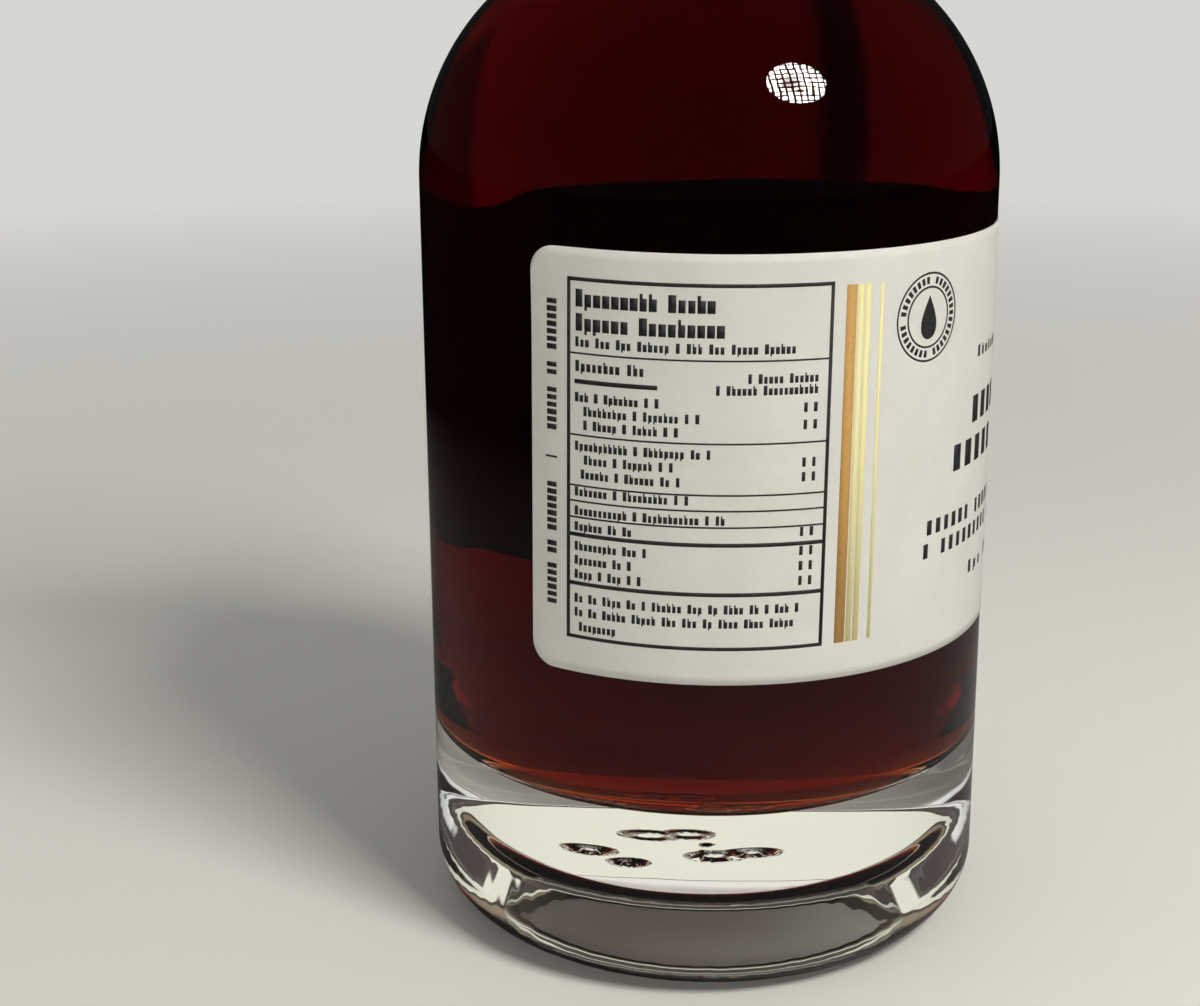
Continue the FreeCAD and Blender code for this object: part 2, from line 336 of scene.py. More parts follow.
def paper_material(name, through_share):
    """Uncoated white label stock: fibres, faint clouds and a slightly warm tone.

    through_share is the share of light that it lets through instead of throwing it back.
    """
    shader = Shader(name)
    clouds = shader.noise(160.0, detail=4.0)
    fibres = shader.noise(1500.0, detail=3.0, stretch=(1, 1, 2.4))
    tone = shader.ramp(clouds, (0.3, (0.87, 0.865, 0.81)), (0.7, (0.92, 0.915, 0.865)))
    flecks = shader.range(fibres, 0.955, 1.0, 0.25, 0.6)
    grey = shader.add("CombineXYZ")
    for axis in "XYZ":
        shader.join(flecks, grey.inputs[axis])
    colour = shader.mix(tone, grey.outputs["Vector"], 1.0, "MULTIPLY")
    shader.join(colour, shader.main.inputs["Base Color"])
    shader.join(shader.range(clouds, 0.5, 0.62), shader.main.inputs["Roughness"])
    soft = shader.bump(clouds, 0.08, 0.0004)
    shader.join(shader.bump(fibres, 0.25, 0.00002, soft), shader.main.inputs["Normal"])
    through = shader.add("BsdfTranslucent", Color=(0.8, 0.78, 0.7, 1))
    mixed = shader.mix_shaders(
        through_share, shader.main.outputs["BSDF"], through.outputs["BSDF"]
    )
    shader.join(mixed, shader.output.inputs["Surface"])
    return shader.material


def ink_material(name, colour, edge):
    """Printing ink that lets a little of the paper's fibres through."""
    shader = Shader(name)
    fibres = shader.noise(1900.0, detail=3.0)
    tone = shader.ramp(fibres, (0.35, colour), (0.75, edge))
    shader.join(tone, shader.main.inputs["Base Color"])
    shader.join(shader.range(fibres, 0.6, 0.75), shader.main.inputs["Roughness"])
    shader.join(shader.bump(fibres, 0.2, 0.00002), shader.main.inputs["Normal"])
    return shader.material


def wood_material():
    """Pale oiled beech with a straight grain across the head and small dark flecks."""
    shader = Shader("beech")
    grain = shader.noise(60.0, detail=6.0, stretch=(14.0, 0.8, 3.0), roughness=0.6)
    flecks = shader.noise(900.0, detail=2.0, stretch=(3.0, 0.25, 1.0))
    bands = shader.noise(90.0, detail=2.0, stretch=(2.2, 0.25, 0.6))
    tone = shader.ramp(grain, (0.3, (0.47, 0.27, 0.12)), (0.72, (0.66, 0.44, 0.235)))
    darker = shader.ramp(bands, (0.35, (0.82, 0.78, 0.74)), (0.65, (1.0, 1.0, 1.0)))
    spots = shader.ramp(flecks, (0.26, (0.55, 0.48, 0.4)), (0.36, (1.0, 1.0, 1.0)))
    colour = shader.mix(shader.mix(tone, darker, 1.0, "MULTIPLY"), spots, 1.0, "MULTIPLY")
    shader.join(colour, shader.main.inputs["Base Color"])
    shader.join(shader.range(grain, 0.42, 0.6), shader.main.inputs["Roughness"])
    shader.join(shader.bump(grain, 0.35, 0.0002), shader.main.inputs["Normal"])
    return shader.material


def cork_material():
    """Natural cork with lenticels and granules."""
    shader = Shader("cork")
    grains = shader.add("TexVoronoi", Scale=620.0)
    shader.join(shader.place(), grains.inputs["Vector"])
    cloud = shader.noise(260.0, detail=5.0)
    pits = shader.noise(520.0, detail=3.0, stretch=(1, 1, 0.5))
    tone = shader.ramp(cloud, (0.3, (0.36, 0.20, 0.10)), (0.7, (0.62, 0.41, 0.24)))
    dark = shader.ramp(pits, (0.33, (0.25, 0.17, 0.11)), (0.43, (1.0, 1.0, 1.0)))
    colour = shader.mix(tone, dark, 1.0, "MULTIPLY")
    shader.join(colour, shader.main.inputs["Base Color"])
    shader.put(Roughness=0.85)
    rough = shader.bump(grains.outputs["Distance"], 0.4, 0.0003)
    shader.join(shader.bump(pits, 0.6, 0.0004, rough), shader.main.inputs["Normal"])
    return shader.material


# ---------------------------------------------------------------- glass

def shoulder_points(wall, shoulder, root, neck):
    """From the top of the straight wall over the shoulder and its hollow curve to the neck."""
    centre = (RADIUS - SHOULDER_RADIUS, SHOULDER_HEIGHT)
    across = neck + root - centre[0]
    up = math.sqrt((shoulder + root) ** 2 - across ** 2)
    root_centre = (neck + root, centre[1] + up)
    lean = math.atan2(up, across)
    crown = arc(centre, shoulder, 0, lean, 44)
    return crown + arc(root_centre, root, lean + math.pi, math.pi, 16)[1:]


def cavity_points(grown=0.0):
    """The inside from the middle of the floor up to the bore, grown outwards into the wall."""
    inner = RADIUS - WALL + grown
    across = RADIUS - WALL - FLOOR_CORNER
    lean = math.asin(across / (FLOOR_DISH - FLOOR_CORNER)) - math.pi / 2
    top = FLOOR + FLOOR_DISH
    corner = (across, top + (FLOOR_DISH - FLOOR_CORNER) * math.sin(lean))
    floor = arc((0, top), FLOOR_DISH + grown, -math.pi / 2, lean, 16)
    bend = arc(corner, FLOOR_CORNER + grown, lean, 0, 24)
    shoulder = shoulder_points(
        inner, SHOULDER_RADIUS - WALL + grown, BORE_ROOT - grown, BORE + grown
    )
    wall = spread([bend[-1], shoulder[0]], 6.0)
    return floor + bend[1:] + wall[1:] + shoulder[1:]


KNURLS = 96  # short ridges round the ring that the bottle stands on
KNURL_DEPTH = 0.22
KNURL_REACH = 5.5
MOULD_WAVES = 0.035
FLOOR_WAVES = 0.05
MARK_HEIGHT = 0.5
MARK_EDGE = 0.3
# rings and dots moulded under the base: middle (x, y), radius and width of the ridge, share of
# the full height
MARKS = (
    (-10.4, -2.4, 1.6, 1.2, 1.0), (-7.0, -7.0, 1.3, 1.0, 1.0), (-6.8, -7.1, 0.0, 0.8, 1.0),
    (-4.4, 6.4, 1.9, 0.7, 0.5), (-1.1, 7.6, 1.7, 0.7, 0.5), (0.4, 2.6, 0.0, 1.0, 1.0),
    (1.2, -2.6, 1.9, 1.3, 1.0), (4.5, -1.0, 1.6, 1.2, 1.0),
)


def wobble(radius, angle):
    """A small unevenness, between -1 and 1, as the mould leaves it."""
    waves = math.sin(23 * angle + 1.3) + math.sin(41 * angle + 0.9 * radius)
    return (waves + math.sin(67 * angle - 1.7 * radius)) / 3


def underside_shape(radius, angle, height):
    """Lift of the base's points: knurls on the bearing ring and moulded rings in the hollow."""
    inner_land = RADIUS - HEEL_RADIUS - LAND_WIDTH
    if height > PUSH_UP_RISE + 0.1:
        return 0.0
    rough = MOULD_WAVES * wobble(radius, angle) * min(1, max(0, (PUSH_UP_RISE - height) / 2))
    if height < 0.6 and radius > inner_land - 0.5:
        across = math.sin(math.pi * min(1, max(0, (radius - inner_land) / KNURL_REACH)))
        return KNURL_DEPTH * across * (0.5 - 0.5 * math.cos(KNURLS * angle)) + max(0, rough)
    if height > PUSH_UP_RISE - 0.1 and radius < PUSH_UP_RADIUS:
        x, y, _ = at(radius, angle, height)
        lift = 0.0
        for mark_x, mark_y, ring, width, share in MARKS:
            away = abs(math.hypot(x - mark_x, y - mark_y) - ring) - width / 2
            lift = max(lift, share * min(1.0, max(0.0, 0.5 - away / MARK_EDGE)))
        return -MARK_HEIGHT * lift
    return rough


def floor_shape(radius, angle, height):
    """The unevenness of the inside floor, which fades out up its corner."""
    share = min(1, max(0, (FLOOR + FLOOR_CORNER - height) / FLOOR_CORNER))
    x, y, _ = at(radius, angle, height)
    waves = math.sin(0.5 - 0.21 * x) + math.sin(0.26 * y - 0.11 * x + 2.0)
    return FLOOR_WAVES * share * waves


def build_glass():
    """The bottle, with its inner faces below the syrup's level in a slot of their own."""
    land_out = RADIUS - HEEL_RADIUS
    base = rounded([
        (0, PUSH_UP_RISE, 0), (PUSH_UP_RADIUS, PUSH_UP_RISE, PUSH_UP_ROUND),
        (land_out - LAND_WIDTH, 0, LAND_ROUND), (land_out, 0, 0),
    ], steps=12)
    flat = [p for p in base if p[1] > PUSH_UP_RISE - 1e-4]
    base = spread(flat, 0.36) + spread(base[len(flat) - 1:], 0.7)[1:]
    heel = arc((land_out, HEEL_RADIUS), HEEL_RADIUS, -math.pi / 2, 0, 28)[1:]
    shoulder = shoulder_points(RADIUS, SHOULDER_RADIUS, NECK_ROOT, NECK_RADIUS)
    wall = spread([heel[-1], shoulder[0]], 6.0)[1:]
    lip_low = GLASS_TOP - LIP_HEIGHT
    lip = rounded([
        shoulder[-1] + (0,), (NECK_RADIUS, lip_low, LIP_UNDERCUT_ROUND),
        (LIP_RADIUS, lip_low, LIP_UNDERCUT_ROUND), (LIP_RADIUS, GLASS_TOP, LIP_ROUND),
        (BORE, GLASS_TOP, MOUTH_ROUND), (BORE, lip_low, 0),
    ], steps=8)
    outside = base + heel + wall + shoulder[1:] + spread(lip, 2.5)[1:]
    inside = cavity_points()[::-1]
    dry = [p for p in inside if p[1] > LEVEL]
    edge = crossing(inside, LEVEL)
    wet = [edge] + [p for p in inside if p[1] < LEVEL]
    profile = outside + dry + wet
    first_wet = len(outside) + len(dry)

    def shape(radius, angle, height):
        inside_floor = FLOOR - 1 < height < FLOOR + FLOOR_CORNER and radius < RADIUS - WALL + 0.01
        return (floor_shape if inside_floor else underside_shape)(radius, angle, height)

    glass = lathe(
        "glass_body", profile, shape=shape, slot_of=lambda span: int(span >= first_wet)
    )
    glass.data.materials.append(glass_material("bottle_glass", GLASS_IOR))
    glass.data.materials.append(glass_material("bottle_glass_wetted", GLASS_IOR / SYRUP_IOR))
    return glass


def crossing(points, height):
    """Where a chain crosses a height."""
    for a, b in zip(points, points[1:]):
        if (a[1] - height) * (b[1] - height) <= 0 and a[1] != b[1]:
            share = (height - a[1]) / (b[1] - a[1])
            return (a[0] + (b[0] - a[0]) * share, height)
    raise ValueError("the chain does not cross that height")


INTO_WALL = 0.02  # how far the syrup's mesh reaches into the glass
BENDS_NOTHING = 1.0  # in the wall, where the glass's own wetted face bends the light
MENISCUS_RISE = 0.7
MENISCUS_WIDTH = 1.6
MENISCUS_STEPS = 12


def build_syrup():
    """The syrup up to its level, with its top drawn up a little at the glass."""
    wall = cavity_points(INTO_WALL)
    edge = crossing(wall, LEVEL)
    side = [p for p in wall if p[1] < LEVEL] + [edge]
    surface = []
    for k in range(MENISCUS_STEPS):
        away = MENISCUS_WIDTH * 2.5 * k / MENISCUS_STEPS
        sunk = MENISCUS_RISE * (1 - math.exp(-2.2 * away / MENISCUS_WIDTH))
        surface.append((edge[0] - away, edge[1] - sunk))
    top = surface + spread([surface[-1], (0, surface[-1][1])], 2.0)[1:]
    first_top = len(side) - 1
    syrup = lathe(
        "syrup_fill", side[:-1] + top, shape=floor_shape,
        slot_of=lambda span: int(span >= first_top),
    )
    syrup.data.materials.append(syrup_material("maple_syrup_wall", BENDS_NOTHING))
    syrup.data.materials.append(syrup_material("maple_syrup_surface", SYRUP_IOR))
    return syrup


# ---------------------------------------------------------------- label

PRINT_HEIGHT = 0.015  # above the paper
PRINT_OVERLAP = 0.005  # into the paper
LIFT = 0.35  # how far the loose corner stands off the glass
LIFT_REACH = 7.5
PAPER_THROUGH, PAPER_BACK_THROUGH = 0.22, 0.9  # shares of light let through
LETTER_STEP = 0.54  # from one letter to the next, in heights of a capital
SMALL_LETTER = 0.72  # height of a small letter


def on_glass(x, y, out):
    """The point of the wrapped label at x, y, that far outside the glass."""
    along = x * math.cos(LABEL_LEAN) + y * math.sin(LABEL_LEAN)
    up = y * math.cos(LABEL_LEAN) - x * math.sin(LABEL_LEAN)
    return at(RADIUS + out, along / RADIUS, LABEL_MIDDLE + up)


def corner_lift(x, y):
    """How far the paper stands off near its top left corner."""
    away = (x - LABEL_START) + (LABEL_HEIGHT / 2 - y) * 0.55
    share = max(0.0, 1 - away / LIFT_REACH)
    return LIFT * share ** 2


class Patches:
    """Curved patches of one colour, gathered into one mesh."""

    def __init__(self):
        self.vertices, self.faces = [], []

    def grid(self, rows, out, closed=False):
        """Faces between rows of label points."""
        first, width = len(self.vertices), len(rows[0])
        for row in rows:
            self.vertices += [on_glass(x, y, out + corner_lift(x, y)) for x, y in row]
        for i in range(len(rows) - 1):
            for j in range(width if closed else width - 1):
                n = (j + 1) % width
                a, b = first + i * width, first + (i + 1) * width
                self.faces.append((a + j, b + j, b + n, a + n))

    def bar(self, left, right, low, high):
        """A rectangle of print."""
        steps = max(1, math.ceil((right - left) / 1.5))
        xs = [left + (right - left) * k / steps for k in range(steps + 1)]
        self.grid([[(x, low), (x, high)] for x in xs], LABEL_THICKNESS + PRINT_HEIGHT)

    def frame(self, left, right, low, high, line):
        self.bar(left, right, high - line, high)
        self.bar(left, right, low, low + line)
        self.bar(left, left + line, low + line, high - line)
        self.bar(right - line, right, low + line, high - line)

    def band(self, middle, outline, inner, outer):
        """The band of a closed outline between two scales of it."""
        steps = max(1, math.ceil((outer - inner) * 4))
        rows = []
        for k in range(steps + 1):
            scale = inner + (outer - inner) * k / steps
            rows.append([(middle[0] + x * scale, middle[1] + y * scale) for x, y in outline])
        self.grid(rows, LABEL_THICKNESS + PRINT_HEIGHT, closed=True)

    def words(
        self, left, base, size, counts, advance=LETTER_STEP, weight=0.7, upright=True, caps=False
    ):
        """Plain blocks where words are: one block a letter, counts letters a word.

        Text that isn't upright reads down the label, from -left at height base.
        """
        step = size * advance
        cursor = left

        def block(start, wide, low, high):
            if upright:
                self.bar(start, start + wide, base + low, base + high)
            else:
                self.bar(base + low, base + high, -start - wide, -start)

        for count in counts:
            for number in range(count):
                wide = step * weight * chance.uniform(0.9, 1.1)
                start = cursor + (step - wide) / 2
                stub = chance.random()
                if caps or number == 0:
                    block(start, wide, 0, size)
                else:
                    block(start, wide, 0, size * SMALL_LETTER)
                    if stub < 0.3:
                        block(start, wide * 0.4, size * SMALL_LETTER, size)
                    elif stub > 0.9:
                        block(start, wide * 0.4, -size * 0.2, 0)
                cursor += step
            cursor += step

    def centred(self, middle, base, size, counts, **options):
        """The same blocks, centred."""
        step = size * options.get("advance", LETTER_STEP)
        width = step * (sum(counts) + len(counts) - 1)
        self.words(middle - width / 2, base, size, counts, **options)

    def right_aligned(self, right, base, size, counts):
        step = size * LETTER_STEP
        self.words(right - step * (sum(counts) + len(counts) - 1), base, size, counts)

    def build(self, name, material, thickness):
        """One object, thickened inwards."""
        piece = smooth_object(name, self.vertices, self.faces)
        thicken = piece.modifiers.new("thickness", "SOLIDIFY")
        thicken.thickness = thickness * MM
        thicken.offset = -1
        piece.data.materials.append(material)
        return piece


chance = random.Random(41)  # the widths and stubs of letters, drawn in the order of printing


def build_paper():
    """The sheet itself, with round corners."""
    half, width, corner = LABEL_HEIGHT / 2, LABEL_WIDTH, LABEL_CORNER
    bends = [corner * (1 - math.cos(math.pi / 2 * k / 8)) for k in range(9)]
    inner = spread([(corner, 0), (width - corner, 0)], 1.0)
    offsets = bends[:-1] + [x for x, _ in inner] + [width - x for x in bends[-2::-1]]
    rows = []
    for x in offsets:
        near = min(x, width - x, corner)
        cut = corner - math.sqrt(corner ** 2 - (corner - near) ** 2)
        high = half - cut
        rows.append([(LABEL_START + x, -high + 2 * high * k / 44) for k in range(45)])
    paper = Patches()
    paper.grid(rows, LABEL_THICKNESS)
    sheet = paper.build(
        "label_paper", paper_material("label_paper", PAPER_THROUGH), LABEL_THICKNESS - 0.01
    )
    sheet.data.materials.append(paper_material("label_paper_back", PAPER_BACK_THROUGH))
    sheet.modifiers["thickness"].material_offset = 1
    return sheet


FACTS_LEFT, FACTS_RIGHT = -17.1, 15.0
FACTS_TOP, FACTS_LOW = 23.0, -22.0
FACTS_LINE = 0.45
TEXT_LEFT = -16.1
VALUES_RIGHT = 13.4
STRIPE_TOP, STRIPE_LOW = 22.5, -21.9
MAIN_MIDDLE = 58.4


def print_facts(ink):
    """The framed table: two heavy headings, rules, and rows of small blocks with values."""
    ink.frame(FACTS_LEFT, FACTS_RIGHT, FACTS_LOW, FACTS_TOP, FACTS_LINE)
    ink.words(TEXT_LEFT, 19.5, 2.1, (9, 5), weight=0.8)
    ink.words(TEXT_LEFT, 16.6, 2.1, (6, 9), weight=0.8)
    ink.words(TEXT_LEFT, 14.7, 1.2, (3, 3, 3, 6, 1, 3, 3, 5, 6))
    ink.words(TEXT_LEFT, 11.7, 1.35, (8, 3), weight=0.66)
    ink.bar(TEXT_LEFT, -5.8, 10.2, 10.75)
    ink.right_aligned(VALUES_RIGHT, 11.2, 1.15, (1, 5, 6))
    ink.right_aligned(VALUES_RIGHT, 9.8, 1.15, (1, 6, 11))
    rows = (
        (0.0, 8.0, (3, 1, 7, 1, 1)), (1.1, 6.3, (9, 1, 7, 1, 1)), (1.1, 4.6, (1, 5, 1, 5, 1, 1)),
        (0.0, 2.0, (11, 1, 8, 2, 1)), (1.2, 0.3, (5, 1, 6, 1, 1)), (0.8, -1.5, (6, 1, 6, 2, 1)),
        (0.0, -3.7, (7, 1, 9, 1, 1)), (0.0, -6.1, (11, 1, 11, 1, 2)), (0.0, -8.1, (6, 2, 2)),
        (0.0, -10.6, (9, 3, 1)), (0.0, -12.4, (7, 2, 1)), (0.0, -14.2, (4, 1, 3, 1, 1)),
        (0.0, -17.3, (2, 2, 4, 2, 1, 6, 3, 2, 4, 2, 1, 3, 1)),
        (0.0, -19.1, (2, 2, 5, 5, 3, 3, 2, 4, 4, 5)), (0.6, -21.0, (8,)),
    )
    for indent, base, counts in rows:
        ink.words(TEXT_LEFT + indent, base, 1.15, counts)
    for base in (7.6, 5.5, 0.9, -0.9, -7.7, -10.1, -12.0, -13.9):
        ink.right_aligned(VALUES_RIGHT, base, 1.15, (1, 1))
    for height, line in (
        (13.9, 0.22), (3.9, 0.22), (-2.4, 0.22), (-4.35, 0.22), (-6.4, 0.22), (-8.6, 0.5),
        (-14.85, 0.5),
    ):
        low, high = height - line / 2, height + line / 2
        ink.bar(FACTS_LEFT + FACTS_LINE, FACTS_RIGHT - FACTS_LINE, low, high)


def print_side_column(ink):
    """A column of heavy blocks that reads down the label's left edge."""
    for start, count in ((-20.3, 7), (-12.6, 2), (-9.5, 6), (2.3, 7), (9.8, 2), (12.7, 6)):
        ink.words(start, -19.9, 1.35, (count,), advance=0.68, weight=0.68, upright=False, caps=True)
    ink.bar(-20.1, -18.5, 0.6, 0.85)


def circle(points=72):
    """A circle of radius 1."""
    turns = [2 * math.pi * k / points for k in range(points)]
    return [(math.cos(turn), math.sin(turn)) for turn in turns]


def droplet(points=72):
    """A drop of syrup of unit half height."""
    shape = []
    for k in range(points):
        turn = 2 * math.pi * k / points
        shape.append((0.72 * math.sin(turn) * math.sin(turn / 2) ** 1.3, math.cos(turn)))
    return shape


def print_badge(ink, middle):
    """A plain ring of short blocks round a drop."""
    ink.band(middle, circle(), 5.25, 5.5)
    ink.band(middle, circle(), 3.55, 3.8)
    blocks = 34
    low, high = 4.1, 4.95
    for k in range(blocks):
        turn = 2 * math.pi * k / blocks
        if k % 9 == 8:
            continue
        span = 2 * math.pi / blocks * 0.3
        corners = [(low, turn - span), (low, turn + span), (high, turn + span), (high, turn - span)]
        points = [(middle[0] + r * math.cos(t), middle[1] + r * math.sin(t)) for r, t in corners]
        ink.grid([[points[0], points[1]], [points[3], points[2]]], LABEL_THICKNESS + PRINT_HEIGHT)
    ink.band(middle, droplet(), 0.02, 2.7)


def print_main_panel(ink):
    """The centred panel: a small line, two heavy lines and three smaller ones."""
    options = dict(advance=0.92, weight=0.6, caps=True)
    ink.centred(MAIN_MIDDLE, 10.4, 1.5, (7, 1, 10), advance=1.1, weight=0.5)
    ink.centred(MAIN_MIDDLE, 2.0, 3.5, (5, 5), **options)
    ink.centred(MAIN_MIDDLE, -3.3, 3.4, (5, 8), advance=0.96, weight=0.6, caps=True)
    ink.centred(MAIN_MIDDLE, -10.5, 1.9, (6, 5, 1, 4, 4, 5), advance=0.98, weight=0.5, caps=True)
    ink.centred(MAIN_MIDDLE, -13.5, 1.9, (1, 9, 1, 4, 6, 4), advance=1.0, weight=0.5, caps=True)
    ink.centred(MAIN_MIDDLE, -18.3, 1.7, (3, 2, 1, 6), advance=1.3, weight=0.4)


def print_back_panel(ink):
    """Short paragraphs of blocks past the second set of stripes."""
    left, size = 104.5, 1.15
    for number, counts in enumerate((
        (6, 3, 4, 7, 5), (5, 8, 2, 6, 4), (7, 4, 3, 5), (), (4, 6, 7, 3, 6), (8, 2, 5, 7),
        (5, 3, 6, 6), (), (3, 7, 4, 5, 6), (6, 5, 2, 8), (4, 7),
    )):
        ink.words(left, 17.5 - 2.3 * number, size, counts, advance=0.6)
    ink.frame(left, left + 22.0, -20.5, -11.0, 0.3)
    for number, counts in enumerate(((7, 3, 5), (4, 6, 4), (8, 5))):
        ink.words(left + 1.5, -14.2 - 2.3 * number, 1.2, counts, advance=0.6)


def print_stripes(gold, yellow):
    """The stripes beside the table, and the same mirrored past the main panel."""
    for ink, left, right in (
        (gold, 16.6, 18.0), (yellow, 18.15, 18.95), (yellow, 19.1, 19.95), (yellow, 21.3, 21.8),
    ):
        ink.bar(left, right, STRIPE_LOW, STRIPE_TOP)
        ink.bar(2 * MAIN_MIDDLE - right, 2 * MAIN_MIDDLE - left, STRIPE_LOW, STRIPE_TOP)


def build_label():
    """The paper, and its print in three inks."""
    ink, gold, yellow = Patches(), Patches(), Patches()
    print_facts(ink)
    print_side_column(ink)
    print_badge(ink, (29.4, 17.4))
    print_main_panel(ink)
    print_back_panel(ink)
    print_stripes(gold, yellow)
    black = ink_material("ink_black", (0.012, 0.012, 0.014), (0.035, 0.034, 0.036))
    golden = ink_material("ink_gold", (0.55, 0.30, 0.075), (0.60, 0.35, 0.105))
    pale = ink_material("ink_yellow", (0.84, 0.77, 0.36), (0.86, 0.8, 0.44))
    thick = PRINT_HEIGHT + PRINT_OVERLAP
    return build_paper(), [
        ink.build("label_print", black, thick),
        gold.build("label_stripes_gold", golden, thick),
        yellow.build("label_stripes_yellow", pale, thick),
    ]


# ---------------------------------------------------------------- stopper

def build_stopper():
    """The turned wooden head and the cork shank, which has a chamfer at its tip."""
    low, high, radius = head_low.z, head_high.z, head_high.x
    head_round = 1.4
    head = lathe("stopper_wood", spread(rounded([
        (0, low, 0), (radius, low, head_round), (radius, high, head_round), (0, high, 0),
    ], steps=10), 1.5), segments=STOPPER_SEGMENTS)
    head.data.materials.append(wood_material())
    chamfer = 1.2
    shank = BORE + 0.04  # squeezed a little into the glass, so that no gap shows
    cork = lathe("stopper_shank", spread(rounded([
        (0, cork_low.z, 0), (shank - chamfer, cork_low.z, 0.3),
        (shank, cork_low.z + chamfer, 0.3), (shank, cork_high.z, 0), (0, cork_high.z, 0),
    ], steps=4), 1.5), segments=STOPPER_SEGMENTS)
    cork.data.materials.append(cork_material())
    return head, cork


# ---------------------------------------------------------------- pieces on the frame

glass = build_glass()
syrup = build_syrup()
paper, prints = build_label()
head, cork = build_stopper()

for piece, node, slot in (
    (glass, "bottle", "glass"), (syrup, "syrup", "syrup"), (paper, "label", "paper"),
    (head, "stopper_head", "wood"), (cork, "stopper_cork", "cork"),
):
    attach(piece, "root")
    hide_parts(node)
for piece in prints:
    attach(piece, "root")


# ---------------------------------------------------------------- floor, light, camera

PALE = (0.87, 0.86, 0.82)
FAR_PALE = (0.68, 0.67, 0.64)
PLAIN = (1, 1, 1)
# painted dark strips in the far floor, seen only through glass, in place of things standing round
# it: degrees from straight behind the bottle, towards its right
PAINTED_STRIPS = (
    (-16.4, PLAIN), (-15.4, (0.17, 0.17, 0.2)), (-10.4, (0.17, 0.17, 0.2)), (-9.4, PLAIN),
    (30, PLAIN), (33, (0.3, 0.35, 0.3)), (80, (0.3, 0.35, 0.3)), (90, PLAIN),
)


# painted shade: the darker colour of the floor beside the bottle where glass shows it, painted in
# for the bottle's shadow
PAINTED_SHADE = (0.55, 0.53, 0.49)
# the floor as a mirror shows it, near and far
MIRRORED_NEAR, MIRRORED_FAR = (0.26, 0.245, 0.24), (0.006, 0.005, 0.005)


def build_floor():
    """A plain pale floor, which mirrors as the darker side of a room; where glass shows it, it has
    painted shade beside the bottle and painted dark strips further off.
    """
    reach = 3.0
    mesh = bpy.data.meshes.new("floor")
    mesh.from_pydata(
        [(-reach, -reach, 0), (reach, -reach, 0), (reach, reach, 0), (-reach, reach, 0)],
        [], [(0, 1, 2, 3)],
    )
    floor = bpy.data.objects.new("floor", mesh)
    bpy.context.scene.collection.objects.link(floor)
    shader = Shader("floor_paper")
    shader.put(Roughness=0.7)
    away = shader.add("VectorMath", {"operation": "LENGTH"})
    shader.join(shader.place(), away.inputs[0])
    distance = away.outputs["Value"]

    def seen_past(start, end):
        """Grows from 0 to 1 between two distances, for rays that glass lets through."""
        return shader.calculate(
            "MULTIPLY", shader.seen_through(), shader.range(distance, 0.0, 1.0, start, end)
        )

    # painted shadow: through the glass, the floor beside the bottle is painted darker, fading out
    # between 8.5 and 15 cm
    shade = shader.range(distance, 0.0, 1.0, 0.085, 0.15)
    painted_shadow = shader.ramp(shade, (0.0, PAINTED_SHADE), (1.0, PALE))
    near = shader.mix(PALE, painted_shadow, seen_past(0.036, 0.04))

    # and painted dark strips, in place of things standing round the far floor, darken it where
    # glass shows it
    parts = shader.add("SeparateXYZ")
    shader.join(shader.place(), parts.inputs[0])
    bearing = shader.calculate("ARCTAN2", parts.outputs["X"], parts.outputs["Y"])
    turn = shader.range(bearing, 0.0, 1.0, -math.pi, math.pi)
    strips = shader.ramp(turn, *[(0.5 + degrees / 360, tone) for degrees, tone in PAINTED_STRIPS])
    around = seen_past(0.17, 0.2)
    shader.join(shader.mix(near, strips, around, "MULTIPLY"), shader.main.inputs["Base Color"])

    # far off, the floor turns into a plain backdrop
    backdrop = shader.add("Emission")
    # the painted dark strips darken the backdrop too, where glass shows it
    shader.join(shader.mix(FAR_PALE, strips, around, "MULTIPLY"), backdrop.inputs["Color"])
    looked_at = shader.calculate(
        "ADD", shader.light_path("Is Camera Ray"), shader.seen_through(), clamp=True
    )
    far_off = shader.calculate(
        "MULTIPLY", looked_at, shader.range(distance, 0.0, 1.0, 0.2, 0.7)
    )
    surface = shader.mix_shaders(far_off, shader.main.outputs[0], backdrop.outputs[0])

    # a mirror shows it darker, and dark far off
    dim = shader.add("BsdfDiffuse")
    dimmed = shader.range(distance, 1.0, 0.0, 0.09, 0.3)
    shader.join(
        shader.ramp(dimmed, (0.0, MIRRORED_FAR), (1.0, MIRRORED_NEAR)), dim.inputs["Color"]
    )
    surface = shader.mix_shaders(shader.mirrored_only(), surface, dim.outputs[0])
    shader.join(surface, shader.output.inputs["Surface"])
    mesh.materials.append(shader.material)


# what clear glass shows of the studio: degrees above the horizon and colour
DARK = (0.06, 0.048, 0.045)
CREAM = (0.84, 0.83, 0.69)
BROWN = (0.30, 0.25, 0.17)
GREY = (0.1, 0.09, 0.085)
THROUGH_GLASS = (
    (0, PALE), (6, PALE), (9, DARK), (23.2, DARK), (23.9, CREAM), (28.3, CREAM), (28.9, DARK),
    (30.5, DARK), (32.5, BROWN), (41, BROWN), (43, GREY), (90, GREY),
)


SOFT_LIGHT = 0.33
MIRRORED_LIGHT = 0.015


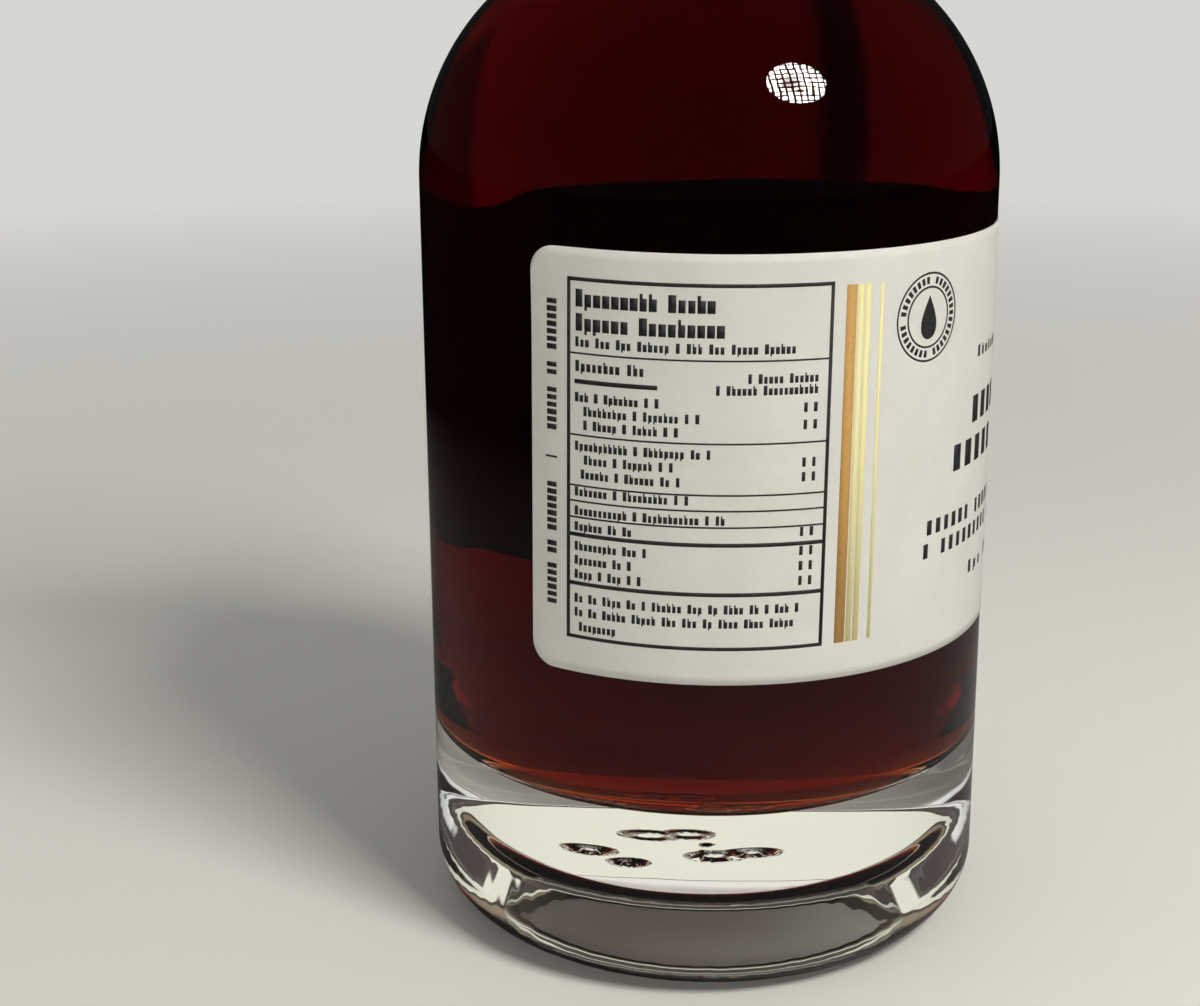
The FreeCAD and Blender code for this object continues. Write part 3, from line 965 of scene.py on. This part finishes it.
def build_world():
    """Plain soft light all round; pale where it is seen directly or through glass."""
    world = bpy.data.worlds.new("studio")
    bpy.context.scene.world = world
    world.use_nodes = True
    studio = Nodes(world.node_tree)
    light = studio.tree.nodes["Background"]
    light.inputs["Color"].default_value = (1.0, 0.985, 0.95, 1)
    light.inputs["Strength"].default_value = SOFT_LIGHT
    seen = studio.add("Background", Color=(*FAR_PALE, 1))
    mirrored = studio.add("Background", Color=(1, 0.97, 0.93, 1), Strength=MIRRORED_LIGHT)
    through = studio.add("Background")
    way = studio.add("TexCoord")
    split = studio.add("SeparateXYZ")
    studio.join(way.outputs["Generated"], split.inputs[0])
    bands = [(math.sin(math.radians(degrees)), colour) for degrees, colour in THROUGH_GLASS]
    studio.join(studio.ramp(split.outputs["Z"], *bands), through.inputs["Color"])
    result = light.outputs[0]
    for factor, background in (
        (studio.light_path("Is Camera Ray"), seen), (studio.seen_through(), through),
        (studio.mirrored_only(), mirrored),
    ):
        result = studio.mix_shaders(factor, result, background.outputs[0])
    studio.join(result, studio.tree.nodes["World Output"].inputs["Surface"])


KEY_POWER = 16.4
KEY_WIDTH, KEY_HEIGHT = 0.29, 0.23  # metres
KEY_AWAY = 0.75
KEY_TILT = math.radians(-15)  # about the lamp's own axis
KEY_HIT = Vector((10.2, -32.9, 115.7)) * MM  # where the shoulder mirrors it to the camera
KEY_WAY = Vector((0.503, -0.491, 0.711))
WEAVE_SCALE = 4.5
WEAVE_LINE = 0.09
WEAVE_BEND = 0.07
WORN_MIDDLE = (0.42, 0.52, 0)  # the duller patch of the lamp, across and up it
WORN_INNER, WORN_OUTER = 0.12, 0.24
WORN_SHARE = 0.16


def build_key():
    """One soft oval lamp behind a loose weave, high to the right, which the shoulder mirrors."""
    data = bpy.data.lights.new("key", "AREA")
    data.shape = "ELLIPSE"
    data.size, data.size_y = KEY_WIDTH, KEY_HEIGHT
    data.energy = KEY_POWER
    data.color = (1.0, 0.97, 0.9)
    lamp = bpy.data.objects.new("key", data)
    lamp.location = KEY_HIT + KEY_WAY * KEY_AWAY
    lamp.visible_transmission = False  # no bright patches under the glass
    aim = (KEY_HIT - lamp.location).to_track_quat("-Z", "Y")
    lamp.rotation_euler = (aim @ Euler((0, 0, KEY_TILT)).to_quaternion()).to_euler()
    bpy.context.scene.collection.objects.link(lamp)

    data.use_nodes = True
    pattern = Nodes(data.node_tree)
    across = pattern.add("NewGeometry").outputs["Parametric"]
    waves = pattern.add("TexNoise", Scale=5.0)
    pattern.join(across, waves.inputs["Vector"])
    bent = pattern.add("VectorMath", {"operation": "MULTIPLY_ADD"})
    bent.inputs[1].default_value = (WEAVE_BEND, WEAVE_BEND, 0)
    pattern.join(waves.outputs["Color"], bent.inputs[0])
    pattern.join(across, bent.inputs[2])
    weave = pattern.add(
        "TexBrick", {"offset": 0.0}, Scale=WEAVE_SCALE, Brick_Width=0.5, Row_Height=0.5,
        Mortar_Size=WEAVE_LINE, Mortar_Smooth=0.0, Mortar=(0, 0, 0, 1),
        Color1=(1, 1, 1, 1), Color2=(0.6, 0.6, 0.6, 1),
    )
    pattern.join(bent.outputs[0], weave.inputs["Vector"])
    middle = pattern.add("VectorMath", {"operation": "DISTANCE"})
    middle.inputs[1].default_value = WORN_MIDDLE
    pattern.join(bent.outputs[0], middle.inputs[0])
    worn = pattern.range(middle.outputs["Value"], WORN_SHARE, 1.0, WORN_INNER, WORN_OUTER)
    emission = pattern.tree.nodes["Emission"]
    pattern.join(weave.outputs["Color"], emission.inputs["Color"])
    pattern.join(worn, emission.inputs["Strength"])


CAMERA_DISTANCE, CAMERA_RISE = 6.98 * RADIUS, 1.729 * RADIUS
PITCH, YAW, ROLL = math.radians(15.384), math.radians(-3.12), math.radians(-0.399)


def build_camera():
    """The photograph's view: straight on to the label's left part, looking down."""
    forward = Vector((
        math.sin(YAW) * math.cos(PITCH), math.cos(YAW) * math.cos(PITCH), -math.sin(PITCH),
    ))
    level = Vector((math.cos(YAW), -math.sin(YAW), 0))
    upright = level.cross(forward)
    right = math.cos(ROLL) * level + math.sin(ROLL) * upright
    up = -math.sin(ROLL) * level + math.cos(ROLL) * upright
    pose = Matrix((right, up, -forward)).transposed().to_4x4()
    pose.translation = Vector((0, -CAMERA_DISTANCE, LABEL_MIDDLE + CAMERA_RISE)) * MM
    data = bpy.data.cameras.new("camera")
    data.sensor_width = 36.0
    data.lens = 60.0
    data.shift_y = -0.0442
    data.clip_start = 0.01
    camera = bpy.data.objects.new("camera", data)
    camera.matrix_world = pose
    bpy.context.scene.collection.objects.link(camera)
    bpy.context.scene.camera = camera


build_floor()
build_world()
build_key()
build_camera()
bpy.context.scene.view_settings.view_transform = "Standard"
